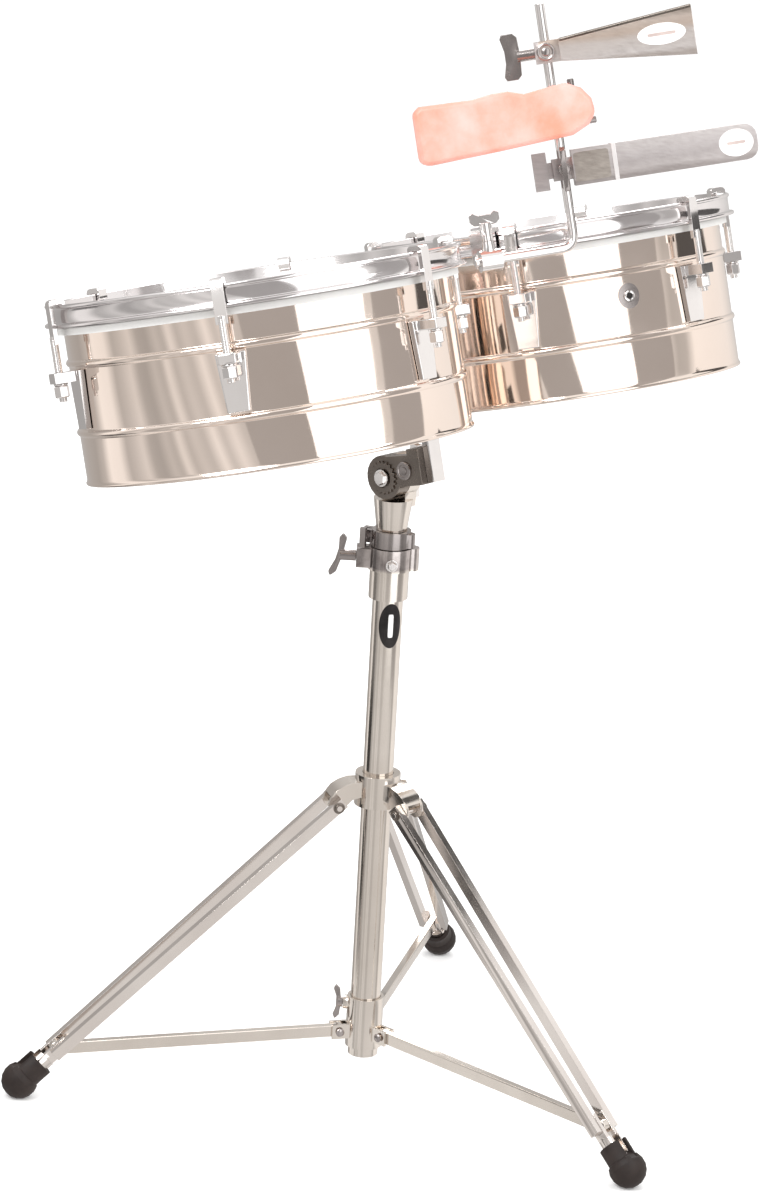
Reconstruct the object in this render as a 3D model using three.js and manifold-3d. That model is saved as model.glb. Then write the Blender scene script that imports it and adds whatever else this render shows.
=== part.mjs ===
// Timbales: two single-headed metal drums on a tilting tripod stand, with a post that carries
// two cowbells and a jam block. Millimetres, +Z up, floor at z = 0, drummer on the +Y side.
import * as THREE from 'three';
import { mergeVertices } from 'three/addons/utils/BufferGeometryUtils.js';
import Module from 'manifold-3d';

const wasm = await Module();
wasm.setup();

// ---------------------------------------------------------------- driving dimensions
const GAP = 0.3; // running gap between pieces that touch
const ROUND = 40; // facets round a drum
const SMALL_ROUND = 16; // facets round tubes and bolts

const BIG_R = 190.5; // 15 inch shell
const SMALL_R = 177.8; // 14 inch shell
const SHELL_GAP = 78.7; // between the two shells, where the centre bracket stands
const SHELL_H = 165; // 6.5 inch shell
const SHELL_WALL = 2;
const BEAD_HEIGHTS = [52, 120]; // raised rings rolled into the shell
const LUGS = 6;
const BIG_LUG_TURN = 25; // degrees from +X to the first lug, turning towards -Y
const SMALL_LUG_TURN = 31;

const TILT = 15.8; // degrees that the heads lean towards the drummer
const PIVOT_Z = 665; // tilter axis above the floor
const DRUM_SETBACK = 68; // from the tilter axis to the line of drum centres
const DRUM_LIFT = 53; // from the tilter axis up to the shells' lower edge
const RATCHET_R = 23;
const RATCHET_W = 17; // each half of the tilter

const TUBE_R = 16; // tripod tube
const TUBE_BORE = 14;
const TUBE_BOTTOM = 24;
const TUBE_TOP = 574;
const INNER_TUBE_R = 13.4; // height tube that slides in the tripod tube
const INNER_TUBE_BORE = 11.4;
const INNER_TUBE_BOTTOM = 250;
const SLEEVE_R = 20.5; // sleeve of the height clamp
const SLEEVE_BOTTOM = 534;
const CLAMP_Z = 577; // height clamp bolt
const LOCK_BOTTOM = 589.5; // memory lock
const LOCK_TOP = 607;
const NECK_TOP = 641;

const LEG_AZIMUTHS = [148.5, 268.5, 28.5];
const LEG_PIVOT = [47, 311]; // radius and height of a leg's upper pivot
const FOOT_BALL_R = 19.5;
const FOOT_CENTRE = [374, 18]; // radius and height of a foot's ball
const STAY_PIVOT_S = 388; // along the leg, from its pivot to the stay's rivet
const COLLAR_PIVOT_R = 29; // stays' pivots on the sliding collar
const STAY_T = 8;
const STAY_W = 13;
const PIN_R = 3;

const ROD_R = 4.75; // 3/8 inch bell rod
const ROD_POST = [67, -228]; // upright's place in the tilted frame
const ROD_EYE = [-8, -180]; // bracket eye's place in the tilted frame
const ROD_ARM_H = 154; // arm above the shells' lower edge
const ROD_TOP_H = 397;
const SMALL_BELL = { h: 349, turn: -52, start: 14, length: 134, narrow: [38, 22], mouth: [70, 49] };
const LARGE_BELL = { h: 232, turn: -48, start: 9, length: 183, narrow: [46, 36], mouth: [82, 35] };
const BLOCK_H = 287;
const BLOCK_TURN = -46;
const BLOCK_DEPTH = 44;
const BRACKET_TURN = 159; // round the small drum, from +X towards -Y

// ---------------------------------------------------------------- colours
const finish = (color, roughness, metalness) => ({ color, roughness, metalness });
const CHROME = finish(0xc9c6c2, 0.12, 1);
const BRONZE = finish(0xd9a878, 0.16, 1);
const DARK_STEEL = finish(0x4a443f, 0.3, 1);
const BELL_STEEL = finish(0x8e8884, 0.32, 1);
const FILM = finish(0xf2eee6, 0.45, 0);
const RUBBER = finish(0x151515, 0.75, 0);
const RED_PLASTIC = finish(0xf06a5a, 0.38, 0);

// ---------------------------------------------------------------- geometry helpers
const rad = THREE.MathUtils.degToRad;

// Signed volume of a closed geometry, positive when its faces point out.
function signedVolume(geometry) {
  const { array } = geometry.attributes.position;
  const order = geometry.index.array;
  const [a, b, c] = [new THREE.Vector3(), new THREE.Vector3(), new THREE.Vector3()];
  let volume = 0;
  for (let i = 0; i < order.length; i += 3) {
    a.fromArray(array, order[i] * 3);
    b.fromArray(array, order[i + 1] * 3);
    c.fromArray(array, order[i + 2] * 3);
    volume += a.dot(b.cross(c)) / 6;
  }
  return volume;
}

// Position-only indexed copy with merged corners and faces that point out.
function clean(geometry) {
  const bare = geometry.clone();
  bare.deleteAttribute('normal');
  bare.deleteAttribute('uv');
  const merged = mergeVertices(bare, 1e-4);
  if (signedVolume(merged) < 0) {
    const order = merged.index.array;
    for (let i = 0; i < order.length; i += 3) [order[i], order[i + 1]] = [order[i + 1], order[i]];
  }
  return merged;
}

function toSolid(geometry) {
  const { attributes, index } = clean(geometry);
  return new wasm.Manifold(
    new wasm.Mesh({
      numProp: 3,
      vertProperties: new Float32Array(attributes.position.array),
      triVerts: new Uint32Array(index.array),
    }),
  );
}

function toGeometry(solid) {
  const mesh = solid.getMesh();
  const geometry = new THREE.BufferGeometry();
  geometry.setAttribute('position', new THREE.BufferAttribute(mesh.vertProperties, 3));
  geometry.setIndex(new THREE.BufferAttribute(mesh.triVerts, 1));
  geometry.computeVertexNormals();
  return geometry;
}

// Joins the first list and cuts the second list from it.
function carve(added, removed = []) {
  let solid = toSolid(added[0]);
  for (const piece of added.slice(1)) solid = solid.add(toSolid(piece));
  for (const piece of removed) solid = solid.subtract(toSolid(piece));
  return toGeometry(solid);
}

const box = (x0, x1, y0, y1, z0, z1) =>
  new THREE.BoxGeometry(x1 - x0, y1 - y0, z1 - z0).translate((x0 + x1) / 2, (y0 + y1) / 2, (z0 + z1) / 2);

// Solid of revolution about Z from [radius, height] pairs.
const turned = (profile, segments = SMALL_ROUND) =>
  new THREE.LatheGeometry(profile.map(([r, z]) => new THREE.Vector2(r, z)), segments).rotateX(Math.PI / 2);

const turnedRing = (profile, segments) => turned([...profile, profile[0]], segments);

const ring = (inner, outer, z0, z1, segments) =>
  turnedRing([[inner, z0], [outer, z0], [outer, z1], [inner, z1]], segments);

const rod = (radius, z0, z1, segments = SMALL_ROUND) =>
  turned([[0, z0], [radius, z0], [radius, z1], [0, z1]], segments);

// Radius of a cutting cylinder whose flats clear a round piece of the given radius.
const clearing = (radius, segments = ROUND) => (radius + GAP) / Math.cos(Math.PI / segments);

// Outline in a plane, made solid: [u, v] pairs become x and z, thickness runs along y.
function plate(outline, y0, y1) {
  const shape = new THREE.Shape(outline.map(([u, v]) => new THREE.Vector2(u, v)));
  return new THREE.ExtrudeGeometry(shape, { depth: y1 - y0, bevelEnabled: false })
    .rotateX(Math.PI / 2)
    .translate(0, y1, 0);
}

// Box whose section grows evenly along +X from narrow to mouth, each [width in y, height in z].
function taperedBox(x0, x1, narrow, mouth) {
  const geometry = new THREE.BoxGeometry(x1 - x0, 1, 1).translate((x0 + x1) / 2, 0, 0);
  const { position } = geometry.attributes;
  for (let i = 0; i < position.count; i += 1) {
    const size = position.getX(i) > (x0 + x1) / 2 ? mouth : narrow;
    position.setY(i, position.getY(i) * size[0]);
    position.setZ(i, position.getZ(i) * size[1]);
  }
  return geometry;
}

// Turns a piece made along +Z so that it runs along the given direction from a point.
function aim(geometry, direction, from = [0, 0, 0]) {
  const along = new THREE.Vector3(...direction).normalize();
  const turn = new THREE.Quaternion().setFromUnitVectors(new THREE.Vector3(0, 0, 1), along);
  return geometry.applyQuaternion(turn).translate(...from);
}

// ---------------------------------------------------------------- scene helpers
const group = new THREE.Group();

function addNode(parent, name, geometry, look) {
  const mesh = new THREE.Mesh(geometry, new THREE.MeshStandardMaterial(look));
  mesh.name = name;
  parent.add(mesh);
  return mesh;
}

function addFrame(parent, position, turnZ = 0) {
  const frame = new THREE.Group();
  frame.position.set(...position);
  frame.rotation.z = rad(turnZ);
  parent.add(frame);
  return frame;
}

// Wing bolt along +Z: its seat is at z = 0, its shank runs down, its wings stand out from the
// hub's outer end; slant raises one wing and lowers the other.
function wingBolt({ shankR = 3, shank = 12, hubR = 6, hub = 12, span = 38, tall = 18, slant = 0 }) {
  const half = span / 2;
  const low = hub - 3;
  const top = low + tall;
  const outline = [[-4, low], [4, low], [half - 4, low + 1], [half, low + 5], [half, top - 2],
    [half - 4, top],
    [6, top - 3], [-6, top - 3], [4 - half, top], [-half, top - 2], [-half, low + 5], [4 - half, low + 1]];
  const wings = plate(outline.map(([u, v]) => [u, v + (slant * u) / half]), -2.5, 2.5);
  return carve([rod(shankR, -shank, 2, 10), rod(hubR, 0, hub, 12), wings]);
}

// ---------------------------------------------------------------- drums
function shellGeometry(r) {
  const beads = BEAD_HEIGHTS.flatMap((z) => [[r, z - 4], [r + 2.5, z - 1.5], [r + 2.5, z + 1.5], [r, z + 4]]);
  const inner = r - SHELL_WALL;
  const foot = [[inner, 0], [r + 1.5, 0], [r + 1.5, 4], [r, 6]];
  return turnedRing([...foot, ...beads, [r, SHELL_H], [inner, SHELL_H]], ROUND);
}

function headGeometry(r) {
  const film = SHELL_H + 0.4;
  const fleshTop = SHELL_H - 8.4;
  return turned(
    [[0, film], [r + 0.4, film], [r + 0.4, fleshTop - 7.5], [r + 8, fleshTop - 7.5], [r + 8, fleshTop],
      [r + 1.6, fleshTop], [r + 1.6, film + 1.2], [0, film + 1.2]],
    ROUND,
  );
}

const HOOP_BOTTOM = SHELL_H - 8;
const HOOP_FLANGE = HOOP_BOTTOM + 3.5;
const HOOP_TOP = HOOP_BOTTOM + 22;
const FLANGE_OUT = 17; // flange beyond the shell

function hoopGeometry(r) {
  return turnedRing(
    [[r + 3.5, HOOP_BOTTOM], [r + FLANGE_OUT, HOOP_BOTTOM], [r + FLANGE_OUT, HOOP_FLANGE],
      [r + 12.5, HOOP_FLANGE], [r + 12.5, HOOP_TOP - 4], [r + 14.5, HOOP_TOP - 2.5], [r + 14.5, HOOP_TOP],
      [r + 9.5, HOOP_TOP], [r + 9.5, HOOP_FLANGE], [r + 3.5, HOOP_FLANGE]],
    ROUND,
  );
}

const HOOK_ROD = 20.5; // tension rod's axis beyond the shell
const HOOK_TOP = HOOP_TOP + 6;
const EAR = [105, 115]; // lug ear, bottom and top

// Tension hook in a frame with x outwards from the shell's surface: a bent strap over the hoop,
// its round threaded rod and the hexagonal tuning nut under the lug's ear.
function hookGeometry() {
  const strap = plate(
    [[5.4, HOOP_TOP - 6], [8.4, HOOP_TOP - 6], [8.4, HOOP_TOP + 1], [17.6, HOOP_TOP + 1], [17.6, 142],
      [22, 142], [22, HOOP_TOP + 3], [18, HOOK_TOP], [9, HOOK_TOP], [5.4, HOOP_TOP + 3]],
    -6, 6,
  );
  const threaded = rod(4, EAR[0] - 18, 150, 10).translate(HOOK_ROD, 0, 0);
  const nut = rod(7.5, EAR[0] - 14, EAR[0] - GAP, 6).translate(HOOK_ROD, 0, 0);
  return carve([strap, threaded, nut]);
}

// Lug: a plate that tapers downwards, riveted to the shell, with an ear for the rod.
function lugGeometry(r) {
  const corners = [[-15, EAR[1]], [-11, 58], [11, 58], [15, EAR[1]]];
  const face = new THREE.Shape(corners.map((corner) => new THREE.Vector2(...corner)));
  const body = new THREE.ExtrudeGeometry(face, { depth: 9, bevelEnabled: false })
    .rotateX(Math.PI / 2)
    .rotateZ(Math.PI / 2)
    .translate(-3, 0, 0);
  const ear = plate([[0, EAR[0]], [HOOK_ROD + 8, EAR[0]], [HOOK_ROD + 8, EAR[1]], [0, EAR[1]]], -9, 9);
  const hole = rod(4.5, EAR[0] - 1, EAR[1] + 1, 10).translate(HOOK_ROD, 0, 0);
  const shell = rod(clearing(r), 0, SHELL_H, ROUND * 2).translate(-r, 0, 0);
  return carve([body, ear], [hole, shell]);
}

function addDrum(parent, size, r, centreX, lugTurn) {
  const drum = addFrame(parent, [centreX, -DRUM_SETBACK, DRUM_LIFT]);
  addNode(drum, `shell_${size}`, shellGeometry(r), BRONZE);
  addNode(drum, `head_${size}`, headGeometry(r), FILM);
  addNode(drum, `hoop_${size}`, hoopGeometry(r), CHROME);
  const [hook, lug] = [hookGeometry(), lugGeometry(r)];
  for (let i = 0; i < LUGS; i += 1) {
    const turn = -lugTurn - (i * 360) / LUGS;
    const place = addFrame(drum, [r * Math.cos(rad(turn)), r * Math.sin(rad(turn)), 0], turn);
    addNode(place, `lug_${size}_${i + 1}`, lug, CHROME);
    addNode(place, `tension_hook_${size}_${i + 1}`, hook, CHROME);
  }
  return drum;
}

const tilted = addFrame(group, [0, 0, PIVOT_Z]);
tilted.rotation.x = -rad(TILT);
const bigX = -SHELL_GAP / 2 - BIG_R;
const smallX = SHELL_GAP / 2 + SMALL_R;
addDrum(tilted, '15in', BIG_R, bigX, BIG_LUG_TURN);
const smallDrum = addDrum(tilted, '14in', SMALL_R, smallX, SMALL_LUG_TURN);

// ---------------------------------------------------------------- centre bracket and tilter
const POST_FRONT = -61; // the upright's faces in the tilted frame
const POST_BACK = -52;
const POST_FOOT = -10;
const BRACKET_ROWS = [[DRUM_LIFT + 14, DRUM_LIFT + 40], [DRUM_LIFT + 68, DRUM_LIFT + 98]];

// Upright bar between the shells, with two cross arms that end in pads shaped to the shells.
function centreBracketGeometry() {
  const reach = SHELL_GAP / 2 + 4;
  const upright = box(-8.5, 8.5, POST_FRONT, POST_BACK, POST_FOOT, DRUM_LIFT + 98);
  const arms = BRACKET_ROWS.map(([z0, z1]) => box(-reach, reach, POST_FRONT, POST_BACK, z0, z1));
  const pads = BRACKET_ROWS.flatMap(([z0, z1]) =>
    [-1, 1].map((side) => {
      const [x0, x1] = [side * (reach - 12), side * reach].sort((a, b) => a - b);
      return box(x0, x1, POST_FRONT - 14, POST_BACK + 14, z0, z1);
    }));
  const shellCut = (r, x) => rod(clearing(r, ROUND * 2), 0, 400, ROUND * 2).translate(x, -DRUM_SETBACK, 0);
  return carve([upright, ...arms, ...pads], [shellCut(BIG_R, bigX), shellCut(SMALL_R, smallX)]);
}
addNode(tilted, 'centre_bracket', centreBracketGeometry(), CHROME);

const BOLT_R = 5;
const alongX = (geometry) => geometry.rotateY(Math.PI / 2);

// Upper half of the ratchet with the arm that carries the centre bracket.
function tilterArmGeometry() {
  const disc = alongX(rod(RATCHET_R, -RATCHET_W, -GAP / 2, 24));
  const arm = box(-RATCHET_W, -GAP / 2, POST_BACK + GAP, 0, -11, 21);
  const end = box(-RATCHET_W, 9, POST_BACK + GAP, POST_BACK + 16, -11, 27);
  const behind = box(-30, 30, 0.5, 40, -40, 40);
  return carve([disc, carve([arm, end], [behind])], [alongX(rod(BOLT_R + GAP, -40, 40))]);
}
addNode(tilted, 'tilter_arm', tilterArmGeometry(), DARK_STEEL);

const column = addFrame(group, [0, 0, 0]);

// Neck on top of the height tube with the lower half of the ratchet.
function tilterBaseGeometry() {
  const neck = turned([[0, LOCK_TOP + GAP], [16, LOCK_TOP + GAP], [20.5, NECK_TOP], [0, NECK_TOP]], 24);
  const disc = alongX(rod(RATCHET_R, GAP / 2, RATCHET_W, 24)).translate(0, 0, PIVOT_Z);
  const web = box(GAP / 2, RATCHET_W, -16, 16, NECK_TOP - 8, PIVOT_Z);
  const socket = rod(INNER_TUBE_R + GAP, LOCK_TOP - 1, LOCK_TOP + 24);
  return carve([neck, disc, web], [alongX(rod(BOLT_R + GAP, -40, 40)).translate(0, 0, PIVOT_Z), socket]);
}
addNode(column, 'tilter_base', tilterBaseGeometry(), CHROME);

// Bolt through the ratchet: round head on one side, T handle on the other.
function tilterBoltGeometry() {
  const shank = rod(BOLT_R, -RATCHET_W - 4, RATCHET_W + 12);
  const head = rod(9, -RATCHET_W - 5, -RATCHET_W - GAP);
  const hub = rod(8, RATCHET_W + GAP, RATCHET_W + 14);
  const handle = box(-28, 28, -5, 5, RATCHET_W + 10, RATCHET_W + 18);
  return alongX(carve([shank, head, hub, handle]));
}
addNode(column, 'tilter_bolt', tilterBoltGeometry(), CHROME).position.z = PIVOT_Z;

// ---------------------------------------------------------------- column
addNode(column, 'tripod_tube', ring(TUBE_BORE, TUBE_R, TUBE_BOTTOM, TUBE_TOP), CHROME);
addNode(column, 'height_tube', ring(INNER_TUBE_BORE, INNER_TUBE_R, INNER_TUBE_BOTTOM, LOCK_TOP + 23), CHROME);

const CLAMP_TURN = 131; // the clamp's jaws and bolt point this way round the column
const clampFrame = addFrame(column, [0, 0, CLAMP_Z], CLAMP_TURN);

// Sleeve over the top of the tripod tube, ending in a split clamp with two jaws in front and
// a rounded knuckle behind.
function heightClampGeometry() {
  const sleeve = rod(SLEEVE_R, SLEEVE_BOTTOM - CLAMP_Z, -9, 24);
  const collar = rod(23, -12, 12, 24);
  const knuckle = rod(9, -12, 12).translate(-21, 0, 0);
  const jaws = box(14, 35, -11, 11, -10, 10);
  const bore = rod(TUBE_R + GAP, SLEEVE_BOTTOM - CLAMP_Z - 1, 13, 24);
  const split = box(23, 40, -1.5, 1.5, -12, 13);
  return carve([sleeve, collar, knuckle, jaws], [bore, split, alongX(rod(4 + GAP, 20, 39, 12))]);
}
addNode(clampFrame, 'height_clamp', heightClampGeometry(), CHROME);

// Wing bolt along the frame's +X, with its seat at the given place; spin turns its wings.
function addWingBolt(parent, name, seat, options, spin = 0) {
  const bolt = wingBolt(options).rotateZ(rad(spin)).rotateY(Math.PI / 2);
  addNode(parent, name, bolt, CHROME).position.set(...seat);
}
addWingBolt(clampFrame, 'height_wing_bolt', [35.3, 0, 0],
  { shankR: 4, shank: 14, span: 44, tall: 9, hub: 17, slant: 6 });

// Memory lock: a ring on the height tube with a hinge knuckle and a key bolt in its jaws.
function memoryLockGeometry() {
  const [z0, z1] = [LOCK_BOTTOM, LOCK_TOP];
  const middle = (z0 + z1) / 2;
  const collar = ring(INNER_TUBE_R + GAP, 20.5, z0, z1, 24);
  const knuckle = rod(7, z0 + 1, z1 - 2, 12).translate(-19, 0, 0);
  const jaws = carve([box(14, 31, -8, 8, z0 + 2, z1 - 2)], [box(20, 34, -1.2, 1.2, z0, z1)]);
  const key = aim(rod(3.5, -13, 15, 12), [0, 1, 0], [25, 0, middle]);
  const keyWing = box(22, 28, 14, 19, middle - 10, middle + 11);
  return carve([collar, knuckle, jaws, key, keyWing], [rod(INNER_TUBE_R + GAP, z0 - 1, z1 + 1, 24)]);
}
addNode(addFrame(column, [0, 0, 0], 112), 'memory_lock', memoryLockGeometry(), DARK_STEEL);

// ---------------------------------------------------------------- tripod
const legRun = FOOT_CENTRE[0] - LEG_PIVOT[0];
const legDrop = LEG_PIVOT[1] - FOOT_CENTRE[1];
const legLength = Math.hypot(legRun, legDrop);
const legDirection = [legRun / legLength, 0, -legDrop / legLength];
const stayPivot = [
  LEG_PIVOT[0] + legDirection[0] * STAY_PIVOT_S,
  LEG_PIVOT[1] + legDirection[2] * STAY_PIVOT_S,
];
const collarPivotZ = stayPivot[1];
const stayLength = stayPivot[0] - COLLAR_PIVOT_R;
const BAR_W = 12;
const BAR_T = 8;
const BAR_TOP = 17; // a bar's middle from the leg's middle plane, at the pivot
const BAR_LOW = 12; // and at its lower end
const BAR_END = STAY_PIVOT_S + 6;
const EAR_HALF = BAR_TOP - BAR_T / 2 - GAP - 0.3; // half the width of a collar's ear
const FOOT_START = legLength - 29; // where the rubber foot begins along the leg
const PLUG_R = 11;
const CHEEK = [STAY_T / 2 + 0.6, 9]; // inside and outside of the shoe's cheeks

// Space that each stay's outer end sweeps while the tripod folds, [along the leg, outwards].
const STAY_SWEEP = [[374, -9], [397, -9], [401, -4], [411, 1], [421, 7.5], [428, 13], [434, 17],
  [434, 45], [374, 45]];
const staySlot = plate(STAY_SWEEP.map(([s, out]) => [-out, s]), -CHEEK[0], CHEEK[0]);

// Bar of the leg on one side of its middle plane, drawn in towards the lower end.
function bar(side) {
  const start = -8;
  const run = BAR_END - start;
  const lean = Math.atan2(side * (BAR_LOW - BAR_TOP), run);
  return new THREE.BoxGeometry(BAR_W, BAR_T, run)
    .translate(0, 0, run / 2)
    .rotateX(-lean)
    .translate(0, side * BAR_TOP, start);
}

// Leg along +Z from its pivot: two bars, the pivot pin across their upper ends, and a shoe
// whose cheeks leave room for the stay and whose plug holds the rubber foot.
function legGeometry() {
  const pin = aim(rod(PIN_R, -BAR_TOP - 7, BAR_TOP + 7, 12), [0, 1, 0]);
  const cheeks = [1, -1].map((side) => {
    const [y0, y1] = CHEEK.map((y) => y * side).sort((a, b) => a - b);
    return box(-7, 7, y0, y1, STAY_PIVOT_S - 14, FOOT_START - 1);
  });
  const floor = box(-7, 7, -CHEEK[1], CHEEK[1], STAY_PIVOT_S + 12, FOOT_START - 1);
  const plug = rod(PLUG_R, STAY_PIVOT_S + 14, legLength + 6);
  return carve([bar(1), bar(-1), pin, ...cheeks, floor, plug], [staySlot]);
}

// Rubber foot on the leg's end: a sleeve, then a ball that is flat where it meets the floor.
function footGeometry() {
  const arc = [];
  const steps = 6;
  for (let step = 0; step <= steps; step += 1) {
    const angle = rad(118 - (118 * step) / steps);
    arc.push([FOOT_BALL_R * Math.sin(angle), legLength + FOOT_BALL_R * Math.cos(angle)]);
  }
  const bore = PLUG_R + GAP;
  const outline = [[bore, FOOT_START], [15.5, FOOT_START], [15.5, legLength - 10], ...arc,
    [0, legLength + 6 + GAP], [bore, legLength + 6 + GAP]];
  return carve([turnedRing(outline, 18)], [staySlot]);
}

function toLegFrame(geometry) {
  return aim(geometry, legDirection, [LEG_PIVOT[0], 0, LEG_PIVOT[1]]);
}

// Stay: a flat bar from the sliding collar to the leg, with an eye at each end.
function stayGeometry() {
  const half = STAY_T / 2;
  const eye = (x) => aim(rod(8, -half, half), [0, 1, 0], [x, 0, 0]);
  const strip = box(0, stayLength, -half, half, -STAY_W / 2, STAY_W / 2);
  return carve([strip, eye(0), eye(stayLength)], [aim(rod(PIN_R + GAP, -9, 9, 12), [0, 1, 0])]);
}

// Collar fixed to the tube, with a forked ear for each leg.
function legCollarGeometry() {
  const [r, z] = LEG_PIVOT;
  const hole = aim(rod(PIN_R + GAP, -20, 20, 12), [0, 1, 0], [r, 0, z]);
  const fork = box(29, r + 20, -EAR_HALF + 3.5, EAR_HALF - 3.5, z - 20, z + 9);
  const arch = [[18, 8], [30, 5], [37, -2], [41, -7], [47, -9], [53, -6], [56, 0], [54, 8], [48, 16], [40, 21],
    [30, 24], [18, 24]].map(([u, v]) => [u, z + v]);
  const ear = carve([plate(arch, -EAR_HALF, EAR_HALF)], [hole, fork]);
  const ears = LEG_AZIMUTHS.map((azimuth) => ear.clone().rotateZ(rad(azimuth)));
  return carve([rod(24, z - 4, z + 31, 24), ...ears], [rod(clearing(TUBE_R, 24), 0, 500, 24)]);
}

const FORK_IN = STAY_T / 2 + GAP;
const FORK_OUT = FORK_IN + 3;
const COLLAR_BOLT_Z = collarPivotZ + 29;
const COLLAR_BOLT_TURN = 131;

// Sliding collar, with a fork and a pin for each stay and a boss for its wing bolt.
function lowerCollarGeometry() {
  const z = collarPivotZ;
  const pin = aim(rod(PIN_R, -FORK_OUT - 2, FORK_OUT + 2, 12), [0, 1, 0], [COLLAR_PIVOT_R, 0, z]);
  const fork = carve([box(17, COLLAR_PIVOT_R + 8, -FORK_OUT, FORK_OUT, z - 8, z + 8)],
    [box(19.8, COLLAR_PIVOT_R + 9, -FORK_IN, FORK_IN, z - 9, z + 9)]);
  const forks = LEG_AZIMUTHS.flatMap((azimuth) =>
    [fork, pin].map((piece) => piece.clone().rotateZ(rad(azimuth))));
  const toBolt = (geometry) => alongX(geometry).translate(0, 0, COLLAR_BOLT_Z).rotateZ(rad(COLLAR_BOLT_TURN));
  const boss = toBolt(rod(7.5, 14, 24));
  const collar = rod(19.5, z - 18, z + 38, 24);
  const bore = rod(clearing(TUBE_R, 24), 0, 500, 24);
  return carve([collar, boss, ...forks], [bore, toBolt(rod(3 + GAP, 12, 30, 12))]);
}

addNode(column, 'leg_collar', legCollarGeometry(), CHROME);
addNode(column, 'lower_collar', lowerCollarGeometry(), CHROME);
const collarBoltFrame = addFrame(column, [0, 0, COLLAR_BOLT_Z], COLLAR_BOLT_TURN);
addWingBolt(collarBoltFrame, 'lower_wing_bolt', [24.3, 0, 0], { shank: 6, span: 36, tall: 8, hub: 5 }, 10);

LEG_AZIMUTHS.forEach((azimuth, i) => {
  const frame = addFrame(column, [0, 0, 0], azimuth);
  addNode(frame, `leg_${i + 1}`, toLegFrame(legGeometry()), CHROME);
  const floor = box(0, 600, -100, 100, -60, 0);
  addNode(frame, `foot_${i + 1}`, carve([toLegFrame(footGeometry())], [floor]), RUBBER);
  addNode(frame, `stay_${i + 1}`, stayGeometry().translate(COLLAR_PIVOT_R, 0, collarPivotZ), CHROME);
});

// ---------------------------------------------------------------- bell rod and its bracket
const armVector = new THREE.Vector3(ROD_POST[0] - ROD_EYE[0], ROD_POST[1] - ROD_EYE[1], 0);
const armLength = armVector.length();
const armZ = DRUM_LIFT + ROD_ARM_H;
const bracketTurn = -rad(BRACKET_TURN);
const Z_AXIS = new THREE.Vector3(0, 0, 1);
const eye = new THREE.Vector3(ROD_EYE[0] - smallX, ROD_EYE[1] + DRUM_SETBACK, 0)
  .applyAxisAngle(Z_AXIS, -bracketTurn);
const eyeAxis = armVector.clone().normalize().applyAxisAngle(Z_AXIS, -bracketTurn).toArray();

// Clamp over the small drum's hoop, in a frame with x outwards from that drum's axis and
// z from the shell's lower edge, with an arm out to the eye that holds the rod.
function bellBracketGeometry() {
  const flange = SMALL_R + FLANGE_OUT;
  const jaw = plate(
    [[flange + 0.6, HOOP_BOTTOM - 1], [SMALL_R + 10.5, HOOP_BOTTOM - 1], [SMALL_R + 10.5, HOOP_BOTTOM - 6],
      [flange + 8, HOOP_BOTTOM - 6], [flange + 8, HOOP_TOP + 5], [SMALL_R + 4.5, HOOP_TOP + 5],
      [SMALL_R + 4.5, HOOP_TOP - 8], [SMALL_R + 7.5, HOOP_TOP - 8], [SMALL_R + 7.5, HOOP_TOP + 1],
      [flange + 0.6, HOOP_TOP + 1]],
    -12.5, 12.5,
  );
  const atEye = (geometry) => geometry.translate(eye.x, eye.y, ROD_ARM_H);
  const reach = box(flange + 4, eye.x, eye.y - 8, 8, ROD_ARM_H - 7, ROD_ARM_H + 7);
  const trim = box(flange, eye.x + 20, 0, 20, 0, 200)
    .rotateZ(Math.atan2(eye.y, eye.x - flange))
    .translate(0, 6, 0);
  const barrel = atEye(aim(rod(11, -11, 11), eyeAxis));
  const bore = atEye(aim(rod(ROD_R + GAP, -40, 40), eyeAxis));
  const boss = atEye(rod(7, 0, 19, 16));
  const screwHole = atEye(rod(3 + GAP, 0, 30, 12));
  return carve([jaw, carve([reach], [trim]), barrel, boss], [bore, screwHole]);
}
const bracketFrame = addFrame(smallDrum, [0, 0, 0], -BRACKET_TURN);
addNode(bracketFrame, 'bell_bracket', bellBracketGeometry(), CHROME);
const bracketBolt = wingBolt({ shank: 12, span: 30, tall: 14, hub: 18 }).rotateZ(rad(BRACKET_TURN - 46));
addNode(bracketFrame, 'bracket_wing_bolt', bracketBolt, CHROME).position.set(eye.x, eye.y, ROD_ARM_H + 19.3);

// Rod bent into an L: the arm held by the bracket's eye and the upright that carries the bells.
function bellRodGeometry() {
  const bend = 14;
  const corner = new THREE.Vector3(ROD_POST[0], ROD_POST[1], armZ);
  const back = armVector.clone().normalize();
  const path = new THREE.CurvePath();
  const armEnd = corner.clone().addScaledVector(back, -armLength - 16);
  const bendIn = corner.clone().addScaledVector(back, -bend);
  const bendOut = corner.clone().addScaledVector(Z_AXIS, bend);
  path.add(new THREE.LineCurve3(armEnd, bendIn));
  path.add(new THREE.QuadraticBezierCurve3(bendIn, corner, bendOut));
  path.add(new THREE.LineCurve3(bendOut, new THREE.Vector3(...ROD_POST, DRUM_LIFT + ROD_TOP_H)));
  const section = new THREE.Shape().absarc(0, 0, ROD_R, 0, Math.PI * 2);
  const options = { steps: 44, curveSegments: 4, bevelEnabled: false, extrudePath: path };
  return new THREE.ExtrudeGeometry(section, options);
}
addNode(tilted, 'bell_rod', clean(bellRodGeometry()), CHROME);

// ---------------------------------------------------------------- bells and jam block
const CLAMP_HALF = 11; // half the side of the block that slides on the rod
const WALL = 2.2;

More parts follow.
